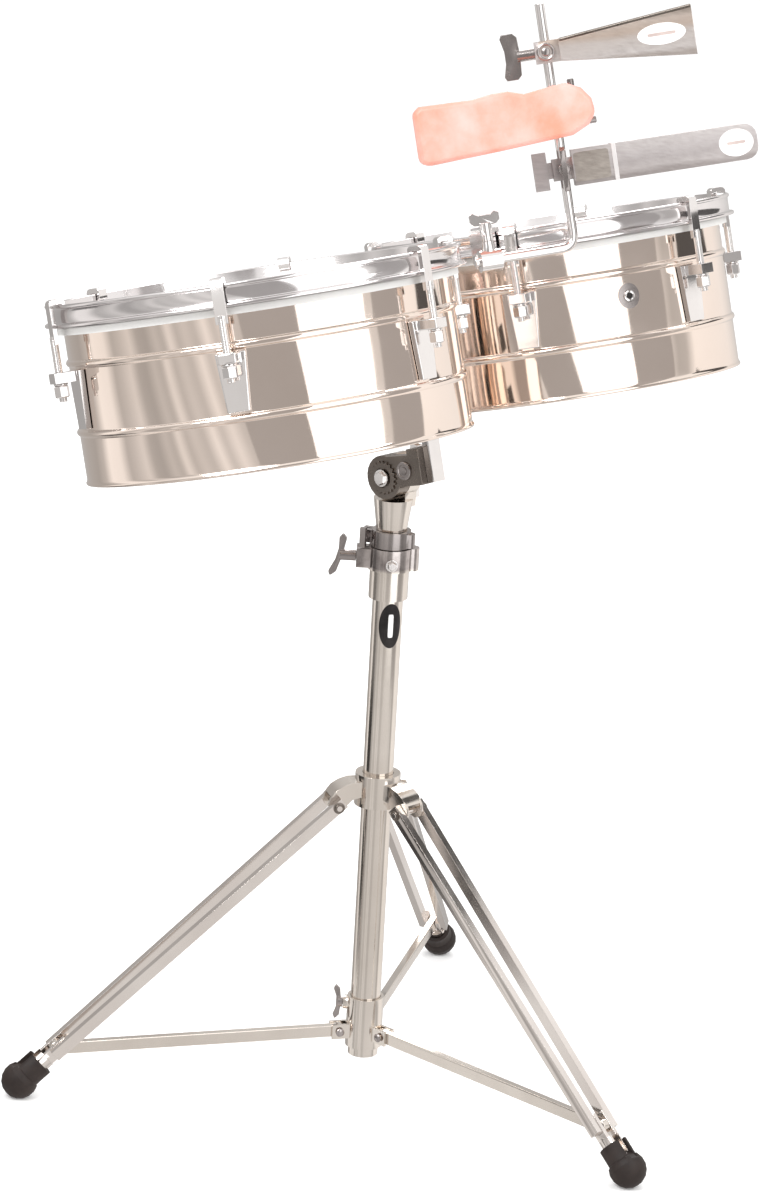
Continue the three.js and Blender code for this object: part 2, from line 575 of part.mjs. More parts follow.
// Cowbell along +X, open at its mouth, with the clamp block that slides on the rod.
function bellGeometry({ start, length, narrow, mouth }, extra, cuts) {
  const inside = (size) => size.map((side) => side - 2 * WALL);
  const skin = taperedBox(start, start + length, narrow, mouth);
  const slope = (i) => (mouth[i] - narrow[i]) / length;
  const hollowNarrow = inside(narrow).map((side, i) => side + slope(i) * WALL);
  const hollowMouth = inside(mouth).map((side, i) => side + slope(i) * 4);
  const hollow = taperedBox(start + WALL, start + length + 4, hollowNarrow, hollowMouth);
  const block = box(-CLAMP_HALF, start + 1, -CLAMP_HALF, CLAMP_HALF, -CLAMP_HALF, CLAMP_HALF);
  return carve([carve([skin], [hollow]), block, ...extra], [rod(ROD_R + GAP, -40, 40), ...cuts]);
}

// The small bell's wing bolt points away from the bell.
const boltOut = (geometry) => geometry.rotateY(-Math.PI / 2);
const smallFrame = addFrame(tilted, [...ROD_POST, DRUM_LIFT + SMALL_BELL.h], SMALL_BELL.turn);
const smallBoss = aim(rod(9, CLAMP_HALF - 1, CLAMP_HALF + 3), [0, -1, 0]);
const smallBell = bellGeometry(SMALL_BELL, [smallBoss], [boltOut(rod(3 + GAP, 0, 40, 12))]);
addNode(smallFrame, 'small_cowbell', smallBell, BELL_STEEL);
const smallBolt = boltOut(wingBolt({ shank: 5, span: 46, tall: 18, hub: 18 }));
addNode(smallFrame, 'small_cowbell_wing_bolt', smallBolt, CHROME).position.x = -CLAMP_HALF - GAP;

// The large bell's wing bolt points sideways, with its wings clear of the bell, beside an end plate.
const boltSide = (geometry) => geometry.rotateZ(Math.PI / 2).rotateX(Math.PI / 2);
const largeFrame = addFrame(tilted, [...ROD_POST, DRUM_LIFT + LARGE_BELL.h], LARGE_BELL.turn);
const endPlate = box(-30, -16, -9, 9, -19, 19);
const endNeck = box(-17, -CLAMP_HALF + 1, -7, 7, -8, 8);
const LIP_R = 12; // rounding of the mouth's corners, seen from the side
const lipEnd = LARGE_BELL.start + LARGE_BELL.length;
const lipTop = LARGE_BELL.mouth[1] / 2;
const lipArc = [0, 22.5, 45, 67.5, 90].map((angle) =>
  [lipEnd - LIP_R + LIP_R * Math.sin(rad(angle)), lipTop - LIP_R + LIP_R * Math.cos(rad(angle))]);
const lipCorner = [[lipEnd + 2, lipTop - LIP_R], [lipEnd + 2, lipTop + 2], [lipEnd - LIP_R, lipTop + 2]];
const lipCut = plate([...lipArc, ...lipCorner], -60, 60);
const lipCuts = [lipCut, lipCut.clone().rotateX(Math.PI)];
const sideBore = boltSide(rod(3 + GAP, 0, 40, 12));
const largeBell = bellGeometry(LARGE_BELL, [endPlate, endNeck], [sideBore, ...lipCuts]);
addNode(largeFrame, 'large_cowbell', largeBell, BELL_STEEL);
const largeBolt = boltSide(wingBolt({ shank: 5, span: 44, tall: 12, hub: 18 }));
addNode(largeFrame, 'large_cowbell_wing_bolt', largeBolt, CHROME).position.y = -CLAMP_HALF - GAP;

const BLOCK_BACK = 11.5; // the block's rear face from the rod's axis

// Side outline of the jam block, [along the block, up], with a raised grip over its middle.
const blockOutline = [[-142, -27], [-135, -32], [-62, -28], [11, -23], [28, -15], [36, -4], [34, 10], [25, 22],
  [10, 29], [-8, 27], [-31, 24], [-47, 29], [-62, 29], [-82, 26], [-135, 27], [-142, 22]];

function jamBlockGeometry() {
  const front = -BLOCK_BACK - BLOCK_DEPTH;
  return carve([plate(blockOutline, front, -BLOCK_BACK)]);
}

function jamBracketGeometry() {
  const strap = box(-14, 36, -BLOCK_BACK + GAP, -BLOCK_BACK + 4, -13, 13);
  const block = box(-CLAMP_HALF, CLAMP_HALF, -BLOCK_BACK + GAP, CLAMP_HALF, -CLAMP_HALF, CLAMP_HALF);
  const screw = aim(wingBolt({ shank: 2, span: 36, tall: 12, hub: 8 }), [0, 1, 0], [0, CLAMP_HALF, 0]);
  return carve([strap, block, screw], [rod(ROD_R + GAP, -40, 40)]);
}
const blockFrame = addFrame(tilted, [...ROD_POST, DRUM_LIFT + BLOCK_H], BLOCK_TURN);
addNode(blockFrame, 'jam_block', jamBlockGeometry(), RED_PLASTIC);
addNode(blockFrame, 'jam_block_bracket', jamBracketGeometry(), CHROME);

// ---------------------------------------------------------------- origin
// The origin is under the middle of the whole object, on the floor.
const extent = new THREE.Box3().setFromObject(group, true);
const middle = extent.getCenter(new THREE.Vector3());
group.position.set(-middle.x, -middle.y, -extent.min.z);
group.updateMatrixWorld(true);

export default group;
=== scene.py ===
import math

import bmesh
import bpy
from mathutils import Matrix, Vector


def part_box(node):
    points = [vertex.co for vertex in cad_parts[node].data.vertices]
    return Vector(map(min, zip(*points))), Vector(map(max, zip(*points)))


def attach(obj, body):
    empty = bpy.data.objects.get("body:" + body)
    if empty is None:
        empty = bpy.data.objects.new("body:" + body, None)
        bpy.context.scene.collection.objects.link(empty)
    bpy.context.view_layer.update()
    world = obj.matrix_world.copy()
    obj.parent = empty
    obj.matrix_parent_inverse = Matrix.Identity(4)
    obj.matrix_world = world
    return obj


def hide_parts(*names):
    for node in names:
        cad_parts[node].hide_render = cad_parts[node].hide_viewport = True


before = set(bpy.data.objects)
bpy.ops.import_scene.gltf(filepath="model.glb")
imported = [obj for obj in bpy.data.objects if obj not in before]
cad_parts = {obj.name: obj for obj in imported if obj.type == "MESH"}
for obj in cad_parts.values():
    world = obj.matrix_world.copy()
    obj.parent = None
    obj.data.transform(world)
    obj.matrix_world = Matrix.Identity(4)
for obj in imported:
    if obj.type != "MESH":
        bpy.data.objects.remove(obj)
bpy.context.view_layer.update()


# ---------------------------------------------------------------- dimensions, in millimetres
MM = 0.001
BIG_R, SMALL_R = 190.5, 177.8
SHELL_GAP = 78.7
SHELL_H = 165.0
SHELL_WALL = 2.0
BEADS = (52.0, 120.0)
LUG_TURN = {"15in": 25.0, "14in": 31.0}
TILT = 15.8
PIVOT_Z = 665.0
DRUM_SETBACK, DRUM_LIFT = 68.0, 53.0
HOOP_BOTTOM = SHELL_H - 8
HOOP_TOP = HOOP_BOTTOM + 22
HOOK_ROD = 20.5  # tension rod's centre, out from the shell
EAR = (105.0, 115.0)  # bottom and top of a lug's ear
STRAP_HALF = 6.0
FACETS = 192  # sides of a drum's round parts
BEAD_HALF, BEAD_PROUD = 3.6, 2.5
DRUMS = {
    "15in": (BIG_R, -SHELL_GAP / 2 - BIG_R),
    "14in": (SMALL_R, SHELL_GAP / 2 + SMALL_R),
}
ROD_POST = (67.0, -228.0)
ROD_EYE = (-8.0, -180.0)
ROD_R, ROD_ARM_H, ROD_TOP_H = 4.75, 154.0, 397.0
SMALL_BELL = dict(h=349, turn=-52, start=14, length=134, narrow=(38, 22), mouth=(70, 49))
LARGE_BELL = dict(h=232, turn=-48, start=9, length=183, narrow=(46, 36), mouth=(82, 35))
BLOCK_H, BLOCK_TURN = 287, -46
LEG_AZIMUTHS = (148.5, 268.5, 28.5)
LEG_PIVOT = (47.0, 311.0)
FOOT_CENTRE = (374.0, 18.0)
TUBE_R = 16.0
CLAMP_Z = 577.0
STAY_PIVOT_S = 388.0
VENT_Z, VENT_TURN = 95.0, 23  # height up the shell, and degrees right of the camera's side
RATCHET_FACE, RATCHET_BACK = -19.0, -17.0
TUBE_BADGE_Z, TUBE_BADGE_TURN = 507, 16
CLAMP_BOLT_R, CLAMP_BOLT_TURN = 22.6, 6
FLOOR_HALF = 30  # metres
STAY_FACE, COLLAR_FACE, BAR_FACE = 9.0, 9.3, 20.6  # outer faces at the rivets, from a leg's middle plane
COLLAR_PIVOT_R, COLLAR_PIVOT_Z = 29.0, 52.08
CAMERA_TURN = -48.9024  # degrees that the camera's heading is turned from +Y
CAMERA_DROP = 16.6874
CAMERA_ROLL = 3.18
CAMERA_AT = (-3224.645, -2805.835, 1811.556)
CAMERA_LENS = 129.0
CAMERA_SHIFT = -0.0018

low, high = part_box("tripod_tube")
AXIS = Vector(((low.x + high.x) / 2, (low.y + high.y) / 2, 0)) / MM  # column axis in the row frame


def place(parent, position, turn=0.0):
    return parent @ Matrix.Translation(position) @ Matrix.Rotation(math.radians(turn), 4, "Z")


COLUMN = Matrix.Translation(AXIS)
TILTED = COLUMN @ Matrix.Translation((0, 0, PIVOT_Z)) @ Matrix.Rotation(math.radians(-TILT), 4, "X")
ALONG_X = Matrix.Rotation(math.radians(90), 4, "Y")


# ---------------------------------------------------------------- materials
class Shader:
    """Small helper round one material's nodes."""

    def __init__(self, name, **sockets):
        self.material = bpy.data.materials.new(name)
        self.material.use_nodes = True
        self.nodes = self.material.node_tree.nodes
        self.links = self.material.node_tree.links
        self.surface = self.nodes["Principled BSDF"]
        for socket, value in sockets.items():
            self.surface.inputs[socket.replace("_", " ")].default_value = value
        self.place = self.nodes.new("ShaderNodeTexCoord").outputs["Object"]

    def stretched(self, scale, turn=(0, 0, 0)):
        mapping = self.nodes.new("ShaderNodeMapping")
        mapping.inputs["Scale"].default_value = scale
        mapping.inputs["Rotation"].default_value = turn
        self.links.new(self.place, mapping.inputs["Vector"])
        return mapping.outputs["Vector"]

    def noise(self, scale, detail=4.0, rough=0.55, source=None):
        node = self.nodes.new("ShaderNodeTexNoise")
        node.inputs["Scale"].default_value = scale
        node.inputs["Detail"].default_value = detail
        node.inputs["Roughness"].default_value = rough
        self.links.new(source or self.place, node.inputs["Vector"])
        return node.outputs["Fac"]

    def ramp(self, value, stops):
        node = self.nodes.new("ShaderNodeValToRGB")
        elements = node.color_ramp.elements
        while len(elements) < len(stops):
            elements.new(0.5)
        for element, (position, colour) in zip(elements, stops):
            element.position = position
            element.color = (*colour, 1)
        self.links.new(value, node.inputs["Fac"])
        return node.outputs["Color"]

    def span(self, value, low_value, high_value, start=0.3, end=0.7):
        node = self.nodes.new("ShaderNodeMapRange")
        node.inputs["From Min"].default_value = start
        node.inputs["From Max"].default_value = end
        node.inputs["To Min"].default_value = low_value
        node.inputs["To Max"].default_value = high_value
        self.links.new(value, node.inputs["Value"])
        return node.outputs["Result"]

    def bump(self, value, distance, strength=1.0):
        node = self.nodes.new("ShaderNodeBump")
        node.inputs["Distance"].default_value = distance
        node.inputs["Strength"].default_value = strength
        self.links.new(value, node.inputs["Height"])
        self.links.new(node.outputs["Normal"], self.surface.inputs["Normal"])

    def reach(self, home, axis, start, end):
        """0 to 1 between two distances, in millimetres, along an axis of this frame."""
        towards = (home.to_3x3() @ axis).normalized()
        origin = towards.dot(home.translation)
        node = self.nodes.new("ShaderNodeVectorMath")
        node.operation = "DOT_PRODUCT"
        node.inputs[1].default_value = towards
        self.links.new(self.place, node.inputs[0])
        return self.span(node.outputs["Value"], 0, 1, (origin + start) * MM, (origin + end) * MM)

    def blend(self, kind, first, second, share=1.0):
        node = self.nodes.new("ShaderNodeMixRGB")
        node.blend_type = kind
        node.inputs["Fac"].default_value = 1.0
        if isinstance(share, float):
            node.inputs["Fac"].default_value = share
        else:
            self.links.new(share, node.inputs["Fac"])
        self.links.new(first, node.inputs["Color1"])
        self.links.new(second, node.inputs["Color2"])
        return node.outputs["Color"]

    def drive(self, socket, value):
        self.links.new(value, self.surface.inputs[socket])


def metal(name, tones, roughness, smear, grain=1600.0, bump=0.00002):
    """Polished metal: cloudy tone, smears in the gloss, and a very fine polishing grain."""
    shader = Shader(name, Metallic=1.0)
    cloud = shader.noise(9.0, 5.0)
    shader.drive("Base Color", shader.ramp(cloud, [(0.35, tones[0]), (0.65, tones[1])]))
    shader.drive("Roughness", shader.span(shader.noise(smear, 6.0, 0.65), *roughness))
    shader.bump(shader.noise(grain, 2.0), bump, 0.25)
    return shader.material


def brushed(name, tones, roughness, stretch, bump=0.00004):
    """Metal with fine lines drawn out along the axes that stretch scales least."""
    shader = Shader(name, Metallic=1.0)
    lines = shader.noise(60.0, 8.0, 0.7, shader.stretched(stretch))
    shader.drive("Base Color", shader.ramp(lines, [(0.3, tones[0]), (0.7, tones[1])]))
    shader.drive("Roughness", shader.span(lines, *roughness))
    shader.bump(lines, bump, 0.4)
    return shader.material


CHROME = metal("chrome_plate", [(0.84, 0.81, 0.80), (0.92, 0.90, 0.89)], (0.05, 0.15), 22.0)
HOOP_STEEL = metal("hoop_chrome", [(0.80, 0.77, 0.77), (0.90, 0.87, 0.87)], (0.07, 0.17), 18.0)
BRONZE = metal("bronze_plate", [(0.92, 0.80, 0.715), (0.96, 0.84, 0.76)], (0.03, 0.09), 14.0)
TUBE_STEEL = metal("tube_chrome", [(0.74, 0.68, 0.62), (0.84, 0.78, 0.72)], (0.08, 0.18), 16.0)
NICKEL = metal("dark_nickel", [(0.30, 0.27, 0.26), (0.50, 0.46, 0.45)], (0.14, 0.30), 34.0, 900.0, 0.00005)
DARK = metal("cast_steel", [(0.15, 0.13, 0.115), (0.32, 0.28, 0.25)], (0.20, 0.38), 40.0, 800.0, 0.00008)


def bell_metal(name, home, half_height, bands, neck_end, neck_tone):
    """Brushed steel with soft bands of painted shading across the bell's height and a darker clamp end."""
    shader = Shader(name, Metallic=1.0)
    lines = shader.noise(60.0, 8.0, 0.7, shader.stretched((2.0, 2.0, 9.0)))
    streaks = shader.noise(14.0, 4.0, 0.6, shader.stretched((0.5, 0.5, 4.0)))
    height = shader.reach(home, Vector((0, 0, 1)), -half_height, half_height)
    painted_shade_level = shader.nodes.new("ShaderNodeMath")
    painted_shade_level.operation = "MULTIPLY_ADD"
    shader.links.new(streaks, painted_shade_level.inputs[0])
    painted_shade_level.inputs[1].default_value = 0.35
    shader.links.new(shader.span(height, -0.17, 0.83, 0.0, 1.0), painted_shade_level.inputs[2])
    # Painted shading: tone bands by height up the bell, their edges stirred by streaks.
    body = shader.ramp(painted_shade_level.outputs["Value"], bands)
    grain = shader.ramp(lines, [(0.3, (0.90, 0.885, 0.88)), (0.7, (1.0, 1.0, 1.0))])
    neck = shader.ramp(streaks, [(0.35, neck_tone), (0.65, [tone * 1.5 for tone in neck_tone])])
    end = shader.reach(home, Vector((1, 0, 0)), neck_end - 1, neck_end + 1)
    shader.drive("Base Color", shader.blend("MULTIPLY", shader.blend("MIX", neck, body, end), grain))
    shader.drive("Roughness", shader.span(lines, 0.34, 0.46))
    shader.bump(lines, 0.00001, 0.4)
    return shader.material


SEAM = metal("weld_seam", [(0.90, 0.87, 0.86), (0.95, 0.93, 0.92)], (0.40, 0.50), 30.0)
BELL_NECK = brushed("bell_neck_steel", [(0.46, 0.41, 0.37), (0.56, 0.51, 0.46)], (0.30, 0.42),
                    (2.0, 2.0, 9.0), 0.00001)


def plastic(name, stops, roughness, scale, bump, bump_scale, specular=0.5):
    shader = Shader(name, Specular_IOR_Level=specular)
    shader.drive("Base Color", shader.ramp(shader.noise(scale, 6.0, 0.62), stops))
    shader.drive("Roughness", shader.span(shader.noise(scale * 2.0, 4.0), *roughness))
    shader.bump(shader.noise(bump_scale, 3.0), bump, 0.5)
    return shader.material


FILM = plastic("coated_film", [(0.3, (0.66, 0.65, 0.63)), (0.7, (0.76, 0.75, 0.73))],
               (0.45, 0.6), 12.0, 0.00008, 900.0)


def clamp_chrome_painted_dark():
    """Chrome of the height clamp: darker on the cast body than on the sleeve below it, the darker tone being
    painted dark reflections.
    """
    shader = Shader("clamp_chrome", Metallic=1.0)
    cloud = shader.noise(9.0, 5.0)
    sleeve = shader.ramp(cloud, [(0.35, (0.74, 0.68, 0.62)), (0.65, (0.84, 0.78, 0.72))])
    # Painted dark reflections: a darker, blotchy chrome tone for the clamp's body.
    body = shader.ramp(shader.noise(26.0, 5.0), [(0.35, (0.20, 0.17, 0.165)), (0.65, (0.62, 0.57, 0.55))])
    above_sleeve = shader.reach(COLUMN, Vector((0, 0, 1)), CLAMP_Z - 12, CLAMP_Z - 8)
    shader.drive("Base Color", shader.blend("MIX", sleeve, body, above_sleeve))
    shader.drive("Roughness", shader.span(shader.noise(26.0, 6.0, 0.65), 0.08, 0.20))
    shader.bump(shader.noise(1600.0, 2.0), 0.00002, 0.25)
    return shader.material


CLAMP_STEEL = clamp_chrome_painted_dark()
LEG_STEEL = metal("leg_chrome", [(0.78, 0.72, 0.68), (0.88, 0.83, 0.79)], (0.08, 0.18), 18.0)
RUBBER = plastic("black_rubber", [(0.3, (0.014, 0.009, 0.008)), (0.7, (0.038, 0.026, 0.022))],
                 (0.45, 0.7), 30.0, 0.0001, 700.0, 0.3)
SALMON = plastic("salmon_plastic",
                 [(0.30, (0.78, 0.29, 0.20)), (0.5, (0.83, 0.38, 0.31)), (0.70, (0.86, 0.47, 0.42))],
                 (0.32, 0.5), 22.0, 0.00012, 260.0)
WHITE_INK = plastic("white_print", [(0.3, (0.86, 0.84, 0.83)), (0.7, (0.93, 0.92, 0.91))],
                    (0.35, 0.5), 60.0, 0.00002, 900.0)
GREY_INK = plastic("grey_print", [(0.3, (0.42, 0.33, 0.31)), (0.7, (0.56, 0.46, 0.43))],
                   (0.35, 0.5), 60.0, 0.00002, 900.0)
# Black print, also used as painted shade inside the vent's hole.
BLACK_PRINT_AND_SHADE = plastic("black_print_and_hole_shade", [(0.3, (0.012, 0.010, 0.010)), (0.7, (0.030, 0.026, 0.026))],
                    (0.3, 0.45), 60.0, 0.00002, 900.0, 0.2)


# ---------------------------------------------------------------- mesh helpers
def lathe(profile, segments=96, closed=True):
    """Solid of revolution about Z; profile holds (radius, height) pairs."""
    verts, rings, faces = [], [], []
    for radius, z in profile:
        if radius < 1e-6:
            rings.append([len(verts)])
            verts.append((0, 0, z))
            continue
        rings.append(list(range(len(verts), len(verts) + segments)))
        for i in range(segments):
            angle = 2 * math.pi * i / segments
            verts.append((radius * math.cos(angle), radius * math.sin(angle), z))
    pairs = list(zip(rings, rings[1:])) + ([(rings[-1], rings[0])] if closed else [])
    for a, b in pairs:
        if len(a) == 1 and len(b) == 1:
            continue
        for i in range(segments):
            j = (i + 1) % segments
            corners = [a[i % len(a)], a[j % len(a)], b[j % len(b)], b[i % len(b)]]
            faces.append(list(dict.fromkeys(corners)))
    return verts, faces


def rod(radius, z0, z1, segments=32, round_off=0.0):
    flat = radius - round_off
    profile = [(0, z0), (flat, z0), (radius, z0 + round_off), (radius, z1 - round_off), (flat, z1), (0, z1)]
    profile = list(dict.fromkeys(profile))
    return lathe(profile, segments, closed=False)


def block(x0, x1, y0, y1, z0, z1):
    verts = [(x, y, z) for z in (z0, z1) for y in (y0, y1) for x in (x0, x1)]
    return verts, [[0, 2, 3, 1], [4, 5, 7, 6], [0, 1, 5, 4], [2, 6, 7, 3], [0, 4, 6, 2], [1, 3, 7, 5]]


def prism(outline, y0, y1):
    """Outline of (x, z) pairs given thickness along y."""
    n = len(outline)
    verts = [(u, y, v) for y in (y0, y1) for u, v in outline]
    faces = [list(range(n)), list(range(2 * n - 1, n - 1, -1))]
    faces += [[i, (i + 1) % n, n + (i + 1) % n, n + i] for i in range(n)]
    return verts, faces


def sweep(points, radius, segments=20):
    """Round bar along a list of points."""
    points = [Vector(p) for p in points]
    verts, faces = [], []
    side = None
    for i, point in enumerate(points):
        along = (points[min(i + 1, len(points) - 1)] - points[max(i - 1, 0)]).normalized()
        if side is None:
            side = along.orthogonal().normalized()
        side = (side - along * side.dot(along)).normalized()
        up = along.cross(side)
        for k in range(segments):
            angle = 2 * math.pi * k / segments
            verts.append(point + (side * math.cos(angle) + up * math.sin(angle)) * radius)
    for i in range(len(points) - 1):
        for k in range(segments):
            a, b = i * segments + k, i * segments + (k + 1) % segments
            faces.append([a, b, b + segments, a + segments])
    last = len(verts) - segments
    faces += [list(range(segments))[::-1], list(range(last, last + segments))]
    return verts, faces


def badge(half_width, half_height, surface, lift=0.5, power=2.0):
    """Thin plate with an oval or rounded outline that lies on surface(across, up, lift)."""
    rows, cols = 20, 14
    verts, faces = [], []
    for level in (lift, -0.1):
        for row in range(rows + 1):
            up = math.sin(math.pi * (row / rows - 0.5))
            width = half_width * max(1e-4, 1 - abs(up) ** power) ** (1 / power)
            verts += [surface(width * (2 * col / cols - 1), half_height * up, level)
                      for col in range(cols + 1)]

    def at(side, row, col):
        return (side * (rows + 1) + row) * (cols + 1) + col

    for side in (0, 1):
        faces += [[at(side, r, c), at(side, r, c + 1), at(side, r + 1, c + 1), at(side, r + 1, c)]
                  for r in range(rows) for c in range(cols)]
    for col in (0, cols):
        faces += [[at(0, r, col), at(0, r + 1, col), at(1, r + 1, col), at(1, r, col)] for r in range(rows)]
    for row in (0, rows):
        faces += [[at(0, row, c), at(0, row, c + 1), at(1, row, c + 1), at(1, row, c)] for c in range(cols)]
    return verts, faces


def round_surface(radius, turn, height):
    """Places points on a cylinder about Z, across and up from the point at this turn and height."""
    def surface(across, up, lift):
        angle = math.radians(turn) + across / radius
        return ((radius + lift) * math.cos(angle), (radius + lift) * math.sin(angle), height + up)
    return surface


def moved(form, matrix):
    verts, faces = form
    return [tuple(matrix @ Vector(v)) for v in verts], faces


def merged(*forms):
    verts, faces = [], []
    for form_verts, form_faces in forms:
        base = len(verts)
        verts += list(form_verts)
        faces += [[base + i for i in face] for face in form_faces]
    return verts, faces


def soften(obj, bevel, segments, angle):
    if not bevel:
        return
    modifier = obj.modifiers.new("edges", "BEVEL")
    modifier.width = bevel * MM
    modifier.segments = segments
    modifier.limit_method = "ANGLE"
    modifier.angle_limit = math.radians(angle)
    modifier.use_clamp_overlap = True
    modifier.harden_normals = False


def finish_mesh(mesh, angle):
    editor = bmesh.new()
    editor.from_mesh(mesh)
    bmesh.ops.recalc_face_normals(editor, faces=editor.faces)
    editor.to_mesh(mesh)
    editor.free()
    mesh.shade_smooth()
    mesh.set_sharp_from_angle(angle=math.radians(angle))


def piece(name, body, form, matrix, material, slot, replaces=(), bevel=0.0, segments=2, angle=38.0):
    """One object in the row frame from a form given in millimetres in its own frame."""
    verts, faces = form
    to_row = Matrix.Scale(MM, 4) @ matrix
    mesh = bpy.data.meshes.new(name)
    mesh.from_pydata([to_row @ Vector(v) for v in verts], [], faces)
    mesh.update()
    finish_mesh(mesh, angle)
    mesh.materials.append(material)
    obj = bpy.data.objects.new(name, mesh)
    bpy.context.scene.collection.objects.link(obj)
    soften(obj, bevel, segments, angle)
    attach(obj, body)
    if replaces:
        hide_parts(*replaces)
    return obj


def refined(node, body, material, bevel=0.8, angle=38.0):
    """The CAD node's own shape with clean faces and rounded edges."""
    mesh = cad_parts[node].data.copy()
    mesh.name = node + "_fine"
    editor = bmesh.new()
    editor.from_mesh(mesh)
    bmesh.ops.remove_doubles(editor, verts=editor.verts, dist=2e-6)
    bmesh.ops.dissolve_limit(editor, angle_limit=math.radians(0.6), verts=editor.verts, edges=editor.edges)
    editor.to_mesh(mesh)
    editor.free()
    finish_mesh(mesh, angle)
    mesh.materials.clear()
    mesh.materials.append(material)
    obj = bpy.data.objects.new(node + "_fine", mesh)
    bpy.context.scene.collection.objects.link(obj)
    soften(obj, bevel, 2, angle)
    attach(obj, body)
    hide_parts(node)
    return obj


# ---------------------------------------------------------------- drums
def arc(centre, radius, start, end, steps):
    """Points along an arc, with its start and end in degrees."""
    return [(centre[0] + radius * math.cos(math.radians(start + (end - start) * i / steps)),
             centre[1] + radius * math.sin(math.radians(start + (end - start) * i / steps)))
            for i in range(steps + 1)]


def bead(r, z):
    """Raised ring in the shell, with eased edges."""
    curve = [(r + BEAD_PROUD * math.cos(math.radians(a)) ** 1.5, z + BEAD_HALF * math.sin(math.radians(a)))
             for a in range(-80, 81, 16)]
    return [(r, z - BEAD_HALF - 0.8)] + curve + [(r, z + BEAD_HALF + 0.8)]


def shell_form(r):
    inner = r - SHELL_WALL
    foot = arc((r - 0.4, 2.0), 1.9, -90, 60, 6)
    outside = [(inner, 0.2), (inner + 1, 0.0)] + foot + [(r, 6.0)]
    for z in BEADS:
        outside += bead(r, z)
    outside += [(r, SHELL_H), (inner, SHELL_H)]
    for z in reversed(BEADS):
        outside += [(inner, z + BEAD_HALF + 0.8), (inner + 1.2, z), (inner, z - BEAD_HALF - 0.8)]
    return lathe(outside, FACETS)


def head_form(r):
    film, flesh = SHELL_H + 0.4, SHELL_H - 8.4
    skin = [(0, film), (r - 3, film), (r + 0.3, film - 0.3), (r + 0.5, flesh - 7.4), (r + 8, flesh - 7.4)]
    ring = arc((r + 6.6, flesh - 1.4), 1.4, 0, 90, 4)
    top = [(r + 1.8, flesh), (r + 1.7, film + 0.4), (r - 0.5, film + 1.2), (0, film + 1.2)]
    return lathe(skin + ring + top, FACETS, closed=False)


def hoop_form(r):
    flange = HOOP_BOTTOM + 3.5
    lip = arc((r + 12.2, HOOP_TOP - 1.9), 2.3, -60, 90, 6)
    outside = [(r + 3.5, HOOP_BOTTOM + 0.4), (r + 4, HOOP_BOTTOM), (r + 16.4, HOOP_BOTTOM),
               (r + 17, HOOP_BOTTOM + 0.8), (r + 17, flange - 0.8), (r + 16.2, flange),
               (r + 13.4, flange + 0.2), (r + 12.5, flange + 1.4), (r + 12.5, HOOP_TOP - 4.8)]
    inside = [(r + 9.9, HOOP_TOP), (r + 9.5, HOOP_TOP - 0.6), (r + 9.5, flange + 1.2), (r + 8.6, flange),
              (r + 3.5, flange)]
    return lathe(outside + lip + inside, FACETS)


def threaded(radius, z0, z1, pitch=1.5, segments=20):
    profile = [(0, z0)]
    z = z0
    while z < z1 - pitch:
        profile += [(radius - 0.45, z), (radius, z + pitch / 2)]
        z += pitch
    return lathe(profile + [(radius - 0.45, z1), (0, z1)], segments, closed=False)


def hex_nut(radius, z0, z1):
    shoulder = 1.2
    profile = [(0, z0), (radius - shoulder, z0), (radius, z0 + shoulder), (radius, z1 - shoulder),
               (radius - shoulder, z1), (0, z1)]
    return lathe(profile, 6, closed=False)


def hook_strap():
    """Bent strap that hangs on the hoop and holds the rod's head."""
    outer = [(5.4, HOOP_TOP - 6), (5.4, HOOP_TOP + 3), (7.0, HOOP_TOP + 5.2), (9, HOOP_TOP + 6),
             (18, HOOP_TOP + 6), (20.6, HOOP_TOP + 4.8), (22, HOOP_TOP + 2.4), (22, 142)]
    inner = [(17.6, 142), (17.6, HOOP_TOP), (16.8, HOOP_TOP + 1), (9.2, HOOP_TOP + 1),
             (8.4, HOOP_TOP + 0.2), (8.4, HOOP_TOP - 6)]
    return prism(outer + inner, -STRAP_HALF, STRAP_HALF)


def add_drum(size):
    r, centre = DRUMS[size]
    home = place(TILTED, (centre, -DRUM_SETBACK, DRUM_LIFT))
    for part, suffix, form, material, slot in (
            ("shell", "metal", shell_form(r), BRONZE, "bronze"), ("head", "film", head_form(r), FILM, "film"),
            ("hoop", "steel", hoop_form(r), HOOP_STEEL, "chrome")):
        node = f"{part}_{size}"
        piece(f"{node}_{suffix}", "drums", form, home, material, slot, (node,), angle=50)
    for i in range(6):
        turn = -LUG_TURN[size] - 60 * i
        at = place(home, (r * math.cos(math.radians(turn)), r * math.sin(math.radians(turn)), 0), turn)
        refined(f"lug_{size}_{i + 1}", "drums", CHROME, bevel=1.6)
        fittings = merged(
            hook_strap(),
            moved(threaded(4.0, EAR[0] - 18, 150), Matrix.Translation((HOOK_ROD, 0, 0))),
            moved(hex_nut(7.5, EAR[0] - 14, EAR[0] - 2.2), Matrix.Translation((HOOK_ROD, 0, 0))),
            moved(rod(7.0, EAR[0] - 2.1, EAR[0] - 0.3, 32, 0.4), Matrix.Translation((HOOK_ROD, 0, 0))),
        )
        piece(f"tension_{size}_{i + 1}", "drums", fittings, at, CHROME, "chrome",
              (f"tension_hook_{size}_{i + 1}",), bevel=0.7)


for drum_size in DRUMS:
    add_drum(drum_size)

